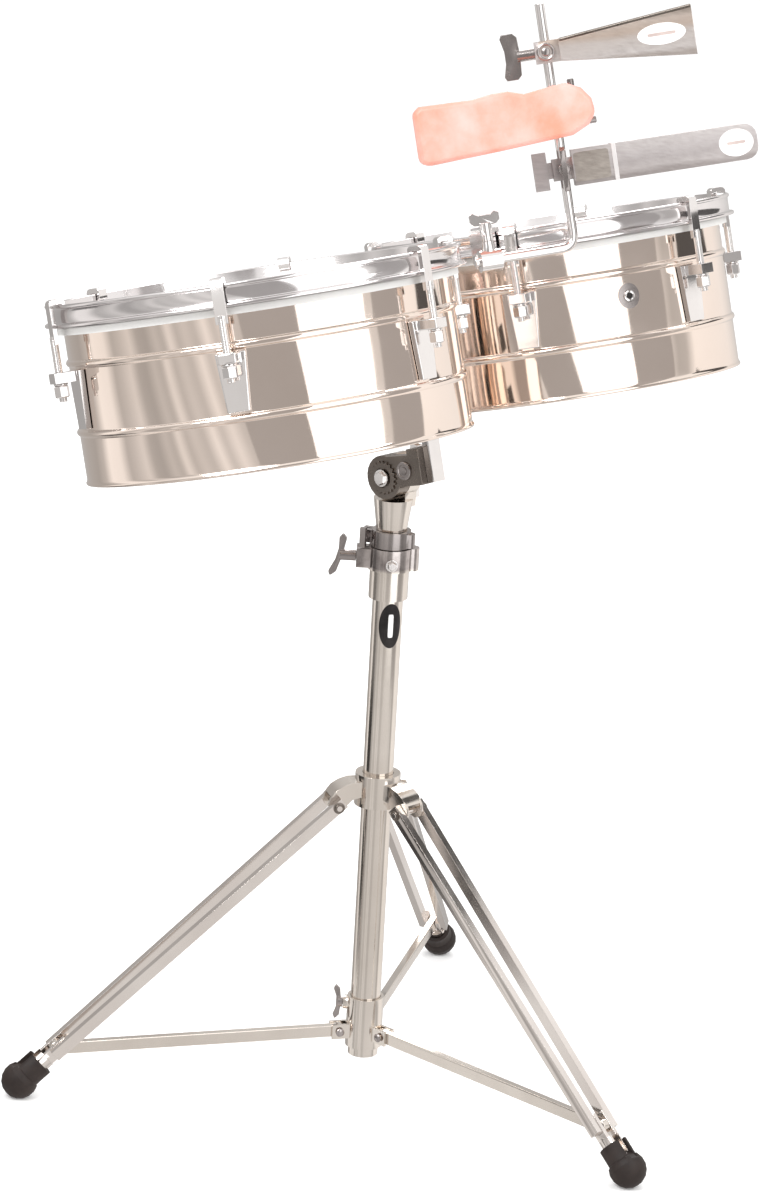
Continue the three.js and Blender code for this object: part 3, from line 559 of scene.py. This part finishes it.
TO_CAMERA = CAMERA_TURN - 90  # the camera's side of the stand, in degrees from +X
vent_turn = TO_CAMERA + VENT_TURN
vent_home = place(TILTED, (DRUMS["14in"][1], -DRUM_SETBACK, DRUM_LIFT))
vent_at = place(vent_home, (0, 0, VENT_Z), vent_turn) @ Matrix.Translation((SMALL_R, 0, 0)) @ ALONG_X
vent_surface = round_surface(SMALL_R, vent_turn, VENT_Z)
piece("vent_badge", "drums", badge(11.5, 13.0, vent_surface, 0.6), vent_home, NICKEL, "chrome", bevel=0.2)
vent_ring = lathe([(3.0, 0.7), (3.4, 1.9), (4.4, 2.4), (5.6, 1.9), (6.2, 0.7)], 40)
piece("vent_ring", "drums", vent_ring, vent_at, CHROME, "chrome")
# Black disc inside the vent ring: painted shade in place of the dark inside of the hole.
vent_hole_shade = lathe([(0, 0.7), (2.9, 0.7), (2.9, 0.9), (0, 0.9)], 24, closed=False)
piece("vent_hole_shade", "drums", vent_hole_shade, vent_at, BLACK_PRINT_AND_SHADE, "chrome")

# ---------------------------------------------------------------- centre bracket and tilter
refined("centre_bracket", "drums", CHROME, bevel=1.6)
refined("tilter_arm", "drums", DARK, bevel=1.4)
refined("tilter_base", "mast", TUBE_STEEL, bevel=1.2)
refined("tilter_bolt", "tilter_bolt", CHROME, bevel=1.2)


def ratchet_ring():
    """Toothed ring on the tilter's face, drawn about X."""
    teeth, inner, root, tip = 20, 10.5, 15.0, 17.5
    outline = []
    for i in range(teeth):
        for step, radius in ((0.0, root), (0.3, tip), (0.6, tip), (0.9, root)):
            angle = 2 * math.pi * (i + step) / teeth
            outline.append((radius * math.cos(angle), radius * math.sin(angle)))
    n = len(outline)
    bore = [(y * inner / math.hypot(y, z), z * inner / math.hypot(y, z)) for y, z in outline]
    verts = [(x, y, z) for x, ring in ((RATCHET_FACE, outline), (RATCHET_BACK, outline), (RATCHET_BACK, bore),
                                 (RATCHET_FACE, bore))
             for y, z in ring]
    faces = [[k * n + i, k * n + (i + 1) % n, (k + 1) % 4 * n + (i + 1) % n, (k + 1) % 4 * n + i]
             for k in range(4) for i in range(n)]
    return verts, faces


piece("ratchet_ring", "drums", ratchet_ring(), TILTED, DARK, "chrome", bevel=0.4)
BOSS = [(0, 0), (9.5, 0), (9.5, 1.6), (8.7, 2.4), (6.6, 2.4), (6.0, 1.4), (4.4, 1.4), (4.0, 2.2), (0, 2.4)]
BOSS_AT = Matrix.Translation((-17.0, -30.0, 5.0)) @ Matrix.Rotation(math.radians(-90), 4, "Y")
piece("tilter_boss", "drums", lathe(BOSS, 40, closed=False), TILTED @ BOSS_AT, NICKEL, "dark_steel")
HEAD_AT = Matrix.Translation((-22.0, 0, 0)) @ Matrix.Rotation(math.radians(-90), 4, "Y")
piece("tilter_bolt_head", "tilter_bolt", hex_nut(7.6, 0.02, 2.6),
      COLUMN @ Matrix.Translation((0, 0, PIVOT_Z)) @ HEAD_AT, CHROME, "chrome", bevel=0.4)

# ---------------------------------------------------------------- column
for node, body, wall in (("tripod_tube", "stand", (14.0, 16.0)), ("height_tube", "mast", (11.4, 13.4))):
    z0, z1 = (corner.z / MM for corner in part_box(node))
    inner, outer = wall
    tube = lathe([(inner, z0), (outer - 0.5, z0), (outer, z0 + 0.5), (outer, z1 - 0.5), (outer - 0.5, z1),
                  (inner, z1)], 72)
    piece(node + "_steel", body, tube, COLUMN, TUBE_STEEL, "chrome", (node,))
refined("height_clamp", "stand", CLAMP_STEEL, bevel=1.6)
refined("memory_lock", "memory_lock", NICKEL, bevel=1.0)
refined("height_wing_bolt", "height_bolt", NICKEL, bevel=1.4)
refined("leg_collar", "stand", TUBE_STEEL, bevel=2.0)
refined("lower_collar", "lower_collar", TUBE_STEEL, bevel=0.8)
refined("lower_wing_bolt", "lower_bolt", NICKEL, bevel=1.2)
BADGE_PLACE = round_surface(TUBE_R, TO_CAMERA + TUBE_BADGE_TURN, TUBE_BADGE_Z)
piece("tube_badge", "stand", badge(12.5, 24.0, BADGE_PLACE, 0.25), COLUMN, BLACK_PRINT_AND_SHADE, "chrome")
piece("tube_badge_bar", "stand", badge(2.6, 12.5, BADGE_PLACE, 0.45, 8.0), COLUMN, WHITE_INK, "chrome")
CLAMP_BOLT_AT = (place(COLUMN, (0, 0, CLAMP_Z - 3), TO_CAMERA + CLAMP_BOLT_TURN)
                 @ Matrix.Translation((CLAMP_BOLT_R, 0, 0)) @ ALONG_X)
clamp_bolt = merged(rod(6.5, 0, 1.2, 32, 0.3), hex_nut(5.2, 1.2, 4.6))
piece("clamp_bolt_head", "stand", clamp_bolt, CLAMP_BOLT_AT, CHROME, "chrome", bevel=0.4)


def leg_home(azimuth):
    """Frame of a leg: along +Z from its pivot, +Y across it."""
    run, drop = FOOT_CENTRE[0] - LEG_PIVOT[0], FOOT_CENTRE[1] - LEG_PIVOT[1]
    return (place(COLUMN, (0, 0, 0), azimuth) @ Matrix.Translation((LEG_PIVOT[0], 0, LEG_PIVOT[1]))
            @ Matrix.Rotation(math.atan2(run, drop), 4, "Y"))


RIVET = [(0, 0), (4.6, 0), (4.6, 0.5), (3.6, 1.7), (1.6, 2.3), (0, 2.4)]
PIVOT_HEAD = [(0, 0), (6.2, 0), (6.2, 1.0), (4.8, 1.2), (4.8, 2.2), (4.0, 2.9), (2.2, 2.9), (1.6, 2.2),
              (0, 2.2)]


def both_sides(profile, out, at):
    """A turned head on each side of a joint, its seat this far from the middle plane."""
    head = lathe(profile, 28, closed=False)
    seats = [Matrix.Translation((at[0], side * out, at[1]))
             @ Matrix.Rotation(math.radians(-90 * side), 4, "X") for side in (1, -1)]
    return merged(*(moved(head, seat) for seat in seats))


for i, azimuth in enumerate(LEG_AZIMUTHS, 1):
    refined(f"leg_{i}", f"leg_{i}", LEG_STEEL, bevel=2.2)
    refined(f"stay_{i}", f"stay_{i}", TUBE_STEEL, bevel=0.8)
    refined(f"foot_{i}", f"leg_{i}", RUBBER, bevel=1.0, angle=25)
    home = leg_home(azimuth)
    rivets = both_sides(RIVET, STAY_FACE, (0, STAY_PIVOT_S))
    piece(f"leg_rivets_{i}", f"leg_{i}", rivets, home, NICKEL, "chrome")
    heads = both_sides(PIVOT_HEAD, BAR_FACE, (0, 0))
    piece(f"leg_pivot_heads_{i}", f"leg_{i}", heads, home, DARK, "chrome")
    rivets = both_sides(RIVET, COLLAR_FACE, (COLLAR_PIVOT_R, COLLAR_PIVOT_Z))
    piece(f"collar_rivets_{i}", "lower_collar", rivets, place(COLUMN, (0, 0, 0), azimuth), NICKEL, "chrome")

# ---------------------------------------------------------------- bell rod and bells
refined("bell_bracket", "drums", CHROME, bevel=0.9)
refined("bracket_wing_bolt", "bracket_bolt", CHROME, bevel=1.2)
corner = Vector((*ROD_POST, DRUM_LIFT + ROD_ARM_H))
eye = Vector((*ROD_EYE, DRUM_LIFT + ROD_ARM_H))
back = (corner - eye).normalized()
BEND = 14.0
bend_in, bend_out = corner - back * BEND, corner + Vector((0, 0, BEND))
path = [eye - back * 16, bend_in]
for step in range(1, 12):
    t = step / 12
    path.append(bend_in * (1 - t) ** 2 + corner * 2 * t * (1 - t) + bend_out * t ** 2)
path += [bend_out, Vector((*ROD_POST, DRUM_LIFT + ROD_TOP_H))]
bell_rod = sweep(path, ROD_R, 24)
piece("bell_rod_steel", "bell_post", bell_rod, TILTED, CHROME, "chrome", ("bell_rod",), bevel=0.6)


def bell_side(bell, along, height):
    """Places points on the bell's side towards the drummer's left, round (along, height)."""
    def surface(across, up, lift):
        u = along + across
        part = (u - bell["start"]) / bell["length"]
        width = bell["narrow"][0] + (bell["mouth"][0] - bell["narrow"][0]) * part
        return (u, -width / 2 - lift, height + up)
    return surface


def bell_band(bell, along, half_width, proud):
    """Raised seam round the bell."""
    verts = []
    for u in (along - half_width, along + half_width):
        part = (u - bell["start"]) / bell["length"]
        y, z = ((bell["narrow"][k] + (bell["mouth"][k] - bell["narrow"][k]) * part) / 2 for k in (0, 1))
        for grow in (proud, -1.0):
            verts += [(u, sy * (y + grow), sz * (z + grow))
                      for sy, sz in ((-1, -1), (1, -1), (1, 1), (-1, 1))]
    faces = []
    for k in range(4):
        m = (k + 1) % 4
        faces += [[k, m, 8 + m, 8 + k], [4 + k, 4 + m, 12 + m, 12 + k], [k, m, 4 + m, 4 + k],
                  [8 + k, 8 + m, 12 + m, 12 + k]]
    return verts, faces


small_home = place(TILTED, (*ROD_POST, DRUM_LIFT + SMALL_BELL["h"]), SMALL_BELL["turn"])
large_home = place(TILTED, (*ROD_POST, DRUM_LIFT + LARGE_BELL["h"]), LARGE_BELL["turn"])
block_home = place(TILTED, (*ROD_POST, DRUM_LIFT + BLOCK_H), BLOCK_TURN)
# The bands given to each bell's steel are painted shading across its height: darkest near the top of the
# small bell and near the bottom of the large one.
SMALL_STEEL = bell_metal("small_bell_steel", small_home, 24, [
    (0.10, (0.50, 0.45, 0.42)), (0.22, (0.70, 0.66, 0.64)), (0.50, (0.66, 0.61, 0.58)),
    (0.66, (0.60, 0.50, 0.43)), (0.80, (0.66, 0.57, 0.51)), (0.95, (0.36, 0.31, 0.27))], -6,
    (0.62, 0.58, 0.57))
LARGE_STEEL = bell_metal("large_bell_steel", large_home, 18, [
    (0.08, (0.44, 0.40, 0.39)), (0.22, (0.63, 0.59, 0.58)), (0.42, (0.58, 0.54, 0.535)),
    (0.62, (0.66, 0.62, 0.615)), (0.92, (0.74, 0.70, 0.69))], 2, (0.40, 0.365, 0.36))
refined("small_cowbell", "small_bell", SMALL_STEEL, bevel=1.6)
refined("small_cowbell_wing_bolt", "small_bell_bolt", NICKEL, bevel=1.8)
small_side = bell_side(SMALL_BELL, 116, 0)
for name, form, ink in (("small_bell_badge", badge(24.0, 10.5, small_side, 0.4), WHITE_INK),
                        ("small_bell_badge_line", badge(14.0, 1.6, small_side, 0.6, 6.0), GREY_INK)):
    piece(name, "small_bell", form, small_home, ink, "bell_steel")
start, end = SMALL_BELL["start"], SMALL_BELL["start"] + SMALL_BELL["length"]
fold = [(start + 1, -SMALL_BELL["narrow"][0] / 2 + 0.6, SMALL_BELL["narrow"][1] / 2 - 1.2),
        (end - 0.5, -SMALL_BELL["mouth"][0] / 2 + 0.6, SMALL_BELL["mouth"][1] / 2 - 1.4)]
piece("small_bell_fold", "small_bell", sweep(fold, 1.8, 16), small_home, DARK, "bell_steel", bevel=0.4)
FRONTWARDS = Matrix.Rotation(math.radians(90), 4, "X")
ring = lathe([(6.0, 0), (6.4, 1.6), (7.6, 2.2), (8.8, 1.6), (9.2, 0)], 40)
screw = lathe([(0, 0), (4.2, 0), (4.2, 1.4), (3.4, 2.0), (0, 2.2)], 32, closed=False)
RING_AT = small_home @ Matrix.Translation((0, -14, 0)) @ FRONTWARDS
piece("small_bell_ring", "small_bell", merged(ring, screw), RING_AT, NICKEL, "chrome")

refined("large_cowbell", "large_bell", LARGE_STEEL, bevel=1.6)
refined("large_cowbell_wing_bolt", "large_bell_bolt", NICKEL, bevel=1.4)
large_side, neck_side = bell_side(LARGE_BELL, 171, 0.5), bell_side(LARGE_BELL, 28, 0)
for name, form, ink in (("large_bell_badge", badge(17.0, 13.5, large_side, 0.4), WHITE_INK),
                        ("large_bell_badge_line", badge(9.0, 1.5, large_side, 0.6, 6.0), GREY_INK)):
    piece(name, "large_bell", form, large_home, ink, "bell_steel")
neck = badge(17.5, 14.5, neck_side, 0.35, 14.0)
piece("large_bell_neck", "large_bell", neck, large_home, BELL_NECK, "bell_steel", bevel=0.2)
seam = bell_band(LARGE_BELL, 51, 2.2, 0.6)
piece("large_bell_seam", "large_bell", seam, large_home, SEAM, "chrome", bevel=0.3)

refined("jam_block", "block", SALMON, bevel=6.0)
refined("jam_block_bracket", "block", CHROME, bevel=0.8)
pegs = merged(moved(rod(3.4, 0, 9, 24, 0.8), Matrix.Translation((17, -34, 23))),
              moved(rod(3.4, 0, 9, 24, 0.8), Matrix.Translation((28, -34, -11)) @ ALONG_X))
piece("jam_block_screws", "block", pegs, block_home, NICKEL, "chrome")


# ---------------------------------------------------------------- floor, light and camera
def heading(turn):
    return Vector((-math.sin(math.radians(turn)), math.cos(math.radians(turn)), 0))


FORWARD = heading(CAMERA_TURN)
RIGHT = Vector((FORWARD.y, -FORWARD.x, 0))

floor_mesh = bpy.data.meshes.new("floor")
floor_mesh.from_pydata([(x * FLOOR_HALF, y * FLOOR_HALF, 0) for x, y in ((-1, -1), (1, -1), (1, 1), (-1, 1))],
                       [], [[0, 1, 2, 3]])
floor = bpy.data.objects.new("floor", floor_mesh)
bpy.context.scene.collection.objects.link(floor)
PALE_FLOOR = plastic("pale_floor", [(0.3, (0.94, 0.938, 0.935)), (0.7, (0.96, 0.958, 0.955))],
                     (0.6, 0.8), 3.0, 0.00005, 60.0, 0.2)
floor_mesh.materials.append(PALE_FLOOR)
floor_surface = PALE_FLOOR.node_tree.nodes["Principled BSDF"].inputs
floor_surface["Emission Color"].default_value = (1, 1, 1, 1)
floor_surface["Emission Strength"].default_value = 0.12
floor.visible_glossy = False


# What polished metal sees of the studio, by bearing: degrees from the direction of the camera,
# positive to its right, with the brightness there.
STUDIO = (
    (-180, 0.55), (-160, 0.48), (-132, 0.42), (-122, 0.55), (-114, 0.98), (-102, 0.92), (-94, 0.50),
    (-88, 0.58), (-80, 0.74), (-74, 0.46), (-68, 0.42), (-62, 0.58), (-57, 0.50), (-53, 0.84), (-48, 0.54),
    (-43, 0.66), (-37, 0.56), (-31, 0.90), (-26, 0.60), (-20, 0.86), (-14, 0.62), (-3, 0.58), (6, 0.74),
    (55, 0.78), (74, 0.72), (80, 0.52), (88, 0.55), (96, 1.05), (140, 0.95), (180, 0.50))
world = bpy.data.worlds.new("studio")
bpy.context.scene.world = world
world.use_nodes = True
sky, links = world.node_tree.nodes, world.node_tree.links


def sky_node(kind, **settings):
    node = sky.new("ShaderNode" + kind)
    for key, value in settings.items():
        setattr(node, key, value)
    return node


ahead_part, right_part = (sky_node("VectorMath", operation="DOT_PRODUCT") for _ in range(2))
bearing = sky_node("Math", operation="ARCTAN2")
turned, lifted = sky_node("MapRange"), sky_node("MapRange")
tones, height = sky_node("ValToRGB"), sky_node("SeparateXYZ")
direction, kind = sky_node("TexCoord").outputs["Generated"], sky_node("LightPath")
above_mix, ray_mix = (sky_node("MixRGB") for _ in range(2))
for part, axis in ((ahead_part, -FORWARD), (right_part, RIGHT)):
    links.new(direction, part.inputs[0])
    part.inputs[1].default_value = axis
links.new(right_part.outputs["Value"], bearing.inputs[0])
links.new(ahead_part.outputs["Value"], bearing.inputs[1])
turned.inputs["From Min"].default_value, turned.inputs["From Max"].default_value = -math.pi, math.pi
links.new(bearing.outputs[0], turned.inputs["Value"])
links.new(turned.outputs["Result"], tones.inputs["Fac"])
stops = tones.color_ramp.elements
while len(stops) < len(STUDIO):
    stops.new(0.5)
for stop, (turn, tone) in zip(stops, STUDIO):
    stop.position = (turn + 180) / 360
    stop.color = (tone, tone * 0.97, tone * 0.945, 1)
links.new(direction, height.inputs[0])
lifted.inputs["From Min"].default_value, lifted.inputs["From Max"].default_value = 0.30, 0.70
links.new(height.outputs["Z"], lifted.inputs["Value"])
links.new(lifted.outputs["Result"], above_mix.inputs["Fac"])
links.new(tones.outputs["Color"], above_mix.inputs["Color1"])
above_mix.inputs["Color2"].default_value = (1.0, 0.99, 0.98, 1)
links.new(kind.outputs["Is Glossy Ray"], ray_mix.inputs["Fac"])
ray_mix.inputs["Color1"].default_value = (1.0, 1.0, 1.0, 1)
links.new(above_mix.outputs["Color"], ray_mix.inputs["Color2"])
links.new(ray_mix.outputs["Color"], sky["Background"].inputs["Color"])
sky["Background"].inputs["Strength"].default_value = 1.0


def card(name, across, towards, width, z0, z1, colour, strength):
    """Upright studio card that only shows in reflections; it faces the stand."""
    centre = (RIGHT * across - FORWARD * towards) + AXIS * MM
    facing = (-(RIGHT * across - FORWARD * towards)).normalized()
    side = Vector((-facing.y, facing.x, 0)) * width / 2
    mesh = bpy.data.meshes.new(name)
    corners = [centre + side * s + Vector((0, 0, z)) for s, z in ((-1, z0), (1, z0), (1, z1), (-1, z1))]
    mesh.from_pydata(corners, [], [[0, 1, 2, 3]])
    material = bpy.data.materials.new(name)
    material.use_nodes = True
    nodes = material.node_tree.nodes
    nodes.remove(nodes["Principled BSDF"])
    glow = nodes.new("ShaderNodeEmission")
    glow.inputs["Color"].default_value = (*colour, 1)
    glow.inputs["Strength"].default_value = strength
    material.node_tree.links.new(glow.outputs[0], nodes["Material Output"].inputs["Surface"])
    mesh.materials.append(material)
    obj = bpy.data.objects.new(name, mesh)
    bpy.context.scene.collection.objects.link(obj)
    obj.visible_camera = obj.visible_shadow = obj.visible_diffuse = False


TAUPE = (1.0, 0.96, 0.94)
# Each card's distance to the camera's right and towards it, width, bottom, top, colour and strength.
CARDS = (
    ("card_dark_front", 0.025, 1.45, 0.77, 0.15, 2.4, TAUPE, 0.42),
    ("card_left_low", -1.00, 0.05, 0.62, -1.6, -0.27, (1.0, 0.98, 0.96), 0.86),
    ("card_left_mid", -1.00, 0.05, 0.58, -0.27, -0.19, TAUPE, 0.40),
    ("card_left_dark", -1.00, 0.05, 0.54, -0.19, 0.12, TAUPE, 0.06),
    ("card_left_tube", -1.00, 0.05, 0.42, 0.12, 0.38, TAUPE, 0.22),
    ("card_white", 0.63, 0.98, 0.86, 0.15, 2.4, (1, 1, 1), 1.7),
    ("card_dark_side", 0.84, 0.36, 0.42, 0.15, 2.4, TAUPE, 0.42),
    ("card_leg_dark", 0.86, -0.36, 0.60, 0.97, 1.20, TAUPE, 0.10),
)
for settings in CARDS:
    card(*settings)

# Each lamp's distance to the camera's right and towards it, height, size and power.
LAMPS = (("key", -1.6, 1.8, 3.0, 1.6, 60), ("fill", 2.0, 1.2, 2.6, 1.4, 30), ("rim", 0.3, -2.2, 2.8, 1.8, 40))
for name, across, towards, z, size, power in LAMPS:
    light = bpy.data.lights.new(name, "AREA")
    light.energy, light.size = power, size
    lamp = bpy.data.objects.new(name, light)
    bpy.context.scene.collection.objects.link(lamp)
    spot = RIGHT * across - FORWARD * towards + AXIS * MM + Vector((0, 0, z))
    lamp.location = spot
    aim = AXIS * MM + Vector((0, 0, 0.7)) - spot
    lamp.rotation_euler = aim.to_track_quat("-Z", "Y").to_euler()

pitch, roll = math.radians(CAMERA_DROP), math.radians(CAMERA_ROLL)
UP = Vector((0, 0, 1))
ahead = FORWARD * math.cos(pitch) - UP * math.sin(pitch)
above = FORWARD * math.sin(pitch) + UP * math.cos(pitch)
to_right = RIGHT * math.cos(roll) + above * math.sin(roll)
to_top = -RIGHT * math.sin(roll) + above * math.cos(roll)
camera = bpy.data.objects.new("camera", bpy.data.cameras.new("camera"))
bpy.context.scene.collection.objects.link(camera)
camera.data.lens = CAMERA_LENS
camera.data.sensor_width = 36
camera.data.shift_x = CAMERA_SHIFT
camera.data.clip_end = 100
spot = (Vector(CAMERA_AT) + AXIS) * MM
camera.matrix_world = Matrix((
    (to_right.x, to_top.x, -ahead.x, spot.x), (to_right.y, to_top.y, -ahead.y, spot.y),
    (to_right.z, to_top.z, -ahead.z, spot.z), (0, 0, 0, 1)))
bpy.context.scene.camera = camera
bpy.context.scene.view_settings.view_transform = "Standard"
